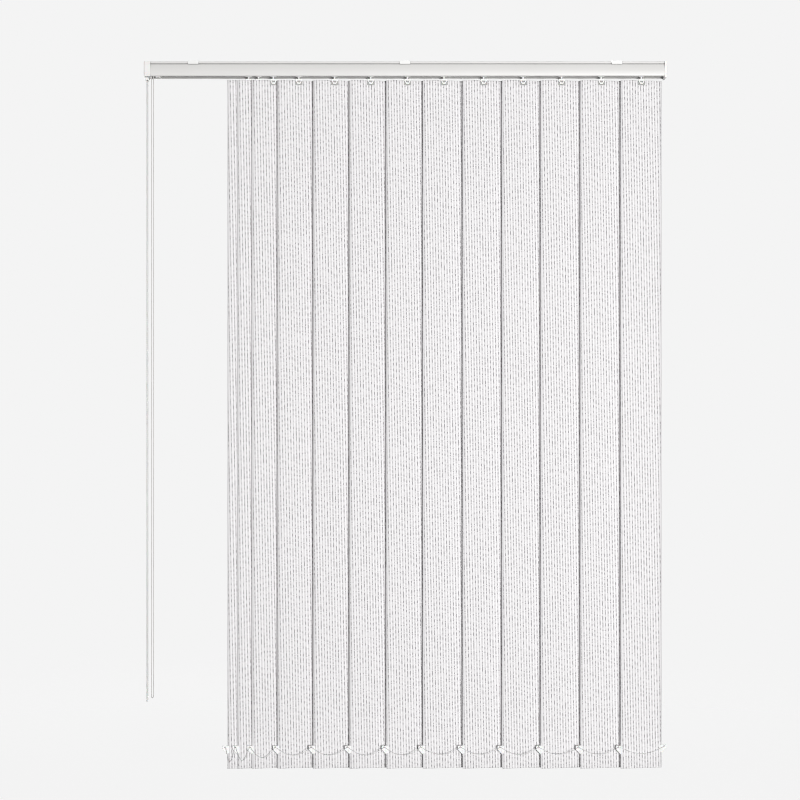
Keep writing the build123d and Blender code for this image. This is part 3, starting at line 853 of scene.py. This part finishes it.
def clip(bm, hole, axis):
    """The clip of the chain, a round pin from the ear's hole forward to where the chain hangs."""
    turn = axis.to_track_quat("Z", "Y").to_matrix().to_4x4()
    length = ear_thickness / 2 + link_stand_off
    middle = hole + axis * ((ear_thickness / 2 - link_stand_off) / 2)
    bmesh.ops.create_cone(
        bm,
        segments=10,
        radius1=clip_radius,
        radius2=clip_radius,
        depth=length,
        cap_ends=True,
        matrix=Matrix.Translation(middle) @ turn,
    )


# Between the weights the chain hangs slack, in front of the slats, from each ear to the next.
for number in range(1, slat_count + 1):
    tag = f"{number:02d}"
    hole = ear_hole(number, -1)
    if number == 1:
        bm = bmesh.new()
        clip(bm, hole, Vector((0, 1, 0)))
        end = shown(bm, "chain_clip_01", link_grey, "chain_01")
        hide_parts("bottom_chain_01")
        continue
    before = ear_hole(number - 1, -1)
    pitch = vane_x(number) - vane_x(number - 1)
    sag = wide_sag + sag_share * (wide_pitch - pitch)
    start = before + Vector((clip_radius + link_gap, -link_stand_off, 0))
    finish = hole + Vector((0, -link_stand_off, 0))
    bm = bead_chain(slack_line(start, finish, sag), link_diameter, link_pitch, link_thread)[0]
    clip(bm, hole, Vector((0, 1, 0)))
    strand = shown(bm, f"link_chain_{tag}", link_grey)
    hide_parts(f"bottom_chain_{tag}")
    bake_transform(strand)

# The last stretch crosses the front of the last slat to its right ear.
last = ear_hole(slat_count, 1)
out = Vector((sin(rest_tilt), -cos(rest_tilt), 0))
along = Vector((cos(rest_tilt), sin(rest_tilt), 0))
start = ear_hole(slat_count, -1) + out * link_stand_off + along * (2 * clip_radius + link_gap)
finish = last + out * link_stand_off
bm = bead_chain(slack_line(start, finish, wide_sag), link_diameter, link_pitch, link_thread)[0]
clip(bm, last, -out)
end_stretch = shown(bm, "link_chain_end", link_grey, f"vane_{slat_count:02d}")
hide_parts("end_chain")

# Floor, world and lamps
backdrop = linear("F4F4F4")
floor_radius = 4.0
floor_fade = (1.0, 3.2)
floor_bm = bmesh.new()
bmesh.ops.create_circle(floor_bm, cap_ends=True, segments=64, radius=floor_radius)
floor_mesh = bpy.data.meshes.new("floor")
floor_bm.to_mesh(floor_mesh)
floor_bm.free()
floor = bpy.data.objects.new("floor", floor_mesh)
floor.location = (0, 0, -1600 * mm)
bpy.context.scene.collection.objects.link(floor)

floor_paint = bpy.data.materials.new("pale_floor")
floor_paint.use_nodes = True
tree = floor_paint.node_tree
tree.nodes.clear()
ray = add(tree, "ShaderNodeLightPath")
place = add(tree, "ShaderNodeTexCoord")
reach = add(tree, "ShaderNodeVectorMath", {0: place.outputs["Object"]}, operation="LENGTH")
fade = add(
    tree,
    "ShaderNodeMapRange",
    {"Value": reach.outputs["Value"], "From Min": floor_fade[0], "From Max": floor_fade[1]},
    interpolation_type="SMOOTHSTEP",
)
lit = add(tree, "ShaderNodeBsdfDiffuse", {"Color": linear("8C8C8C")})
glow = add(tree, "ShaderNodeEmission", {"Color": backdrop, "Strength": 0.9})
none = add(tree, "ShaderNodeBsdfTransparent")
seen = add(tree, "ShaderNodeMixShader", {0: ray.outputs["Is Camera Ray"], 2: glow.outputs[0]})
both = add(tree, "ShaderNodeAddShader", {0: lit.outputs[0], 1: seen.outputs[0]})
ground = add(tree, "ShaderNodeMixShader", {0: fade.outputs[0], 1: both.outputs[0], 2: none.outputs[0]})
add(tree, "ShaderNodeOutputMaterial", {"Surface": ground.outputs[0]})
floor_mesh.materials.append(floor_paint)

world = bpy.data.worlds.new("studio")
bpy.context.scene.world = world
world.use_nodes = True
tree = world.node_tree
tree.nodes.clear()
ray = add(tree, "ShaderNodeLightPath")
first = add(
    tree,
    "ShaderNodeMath",
    {0: ray.outputs["Is Camera Ray"], 1: ray.outputs["Is Glossy Ray"]},
    operation="MAXIMUM",
)
clear = add(
    tree,
    "ShaderNodeMath",
    {0: first.outputs[0], 1: ray.outputs["Is Transmission Ray"]},
    operation="MAXIMUM",
)
# The surrounding light is stronger from the front than from the back.
compass = add(tree, "ShaderNodeTexCoord")
facing = add(tree, "ShaderNodeSeparateXYZ", {0: compass.outputs["Generated"]})
fall = add(
    tree,
    "ShaderNodeMapRange",
    {"Value": facing.outputs["Y"], "From Min": -1.0, "From Max": 1.0, "To Min": 0.3, "To Max": 0.06},
)
soft = add(tree, "ShaderNodeBackground", {"Color": linear("FFFFFF"), "Strength": fall.outputs[0]})
pale = add(tree, "ShaderNodeBackground", {"Color": backdrop, "Strength": 1.0})
sky = add(tree, "ShaderNodeMixShader", {0: clear.outputs[0], 1: soft.outputs[0], 2: pale.outputs[0]})
add(tree, "ShaderNodeOutputWorld", {"Surface": sky.outputs[0]})


def lamp(name, place, aim, size, power):
    """A soft square lamp, aimed at a point. Its size is in metres and its power in watts."""
    light = bpy.data.lights.new(name, "AREA")
    light.shape = "SQUARE"
    light.size = size
    light.energy = power
    holder = bpy.data.objects.new(name, light)
    holder.location = place
    holder.rotation_euler = (Vector(aim) - Vector(place)).to_track_quat("-Z", "Y").to_euler()
    bpy.context.scene.collection.objects.link(holder)


blind_middle = (0, 0, -0.7)
lamp("key", (1.15, -4.95, -1.1), blind_middle, size=1.0, power=217)
lamp("back", (-0.3, 4.6, 0.3), blind_middle, size=1.6, power=45)

bpy.context.scene.view_settings.view_transform = "Standard"
bpy.context.scene.cycles.filter_width = 1.0
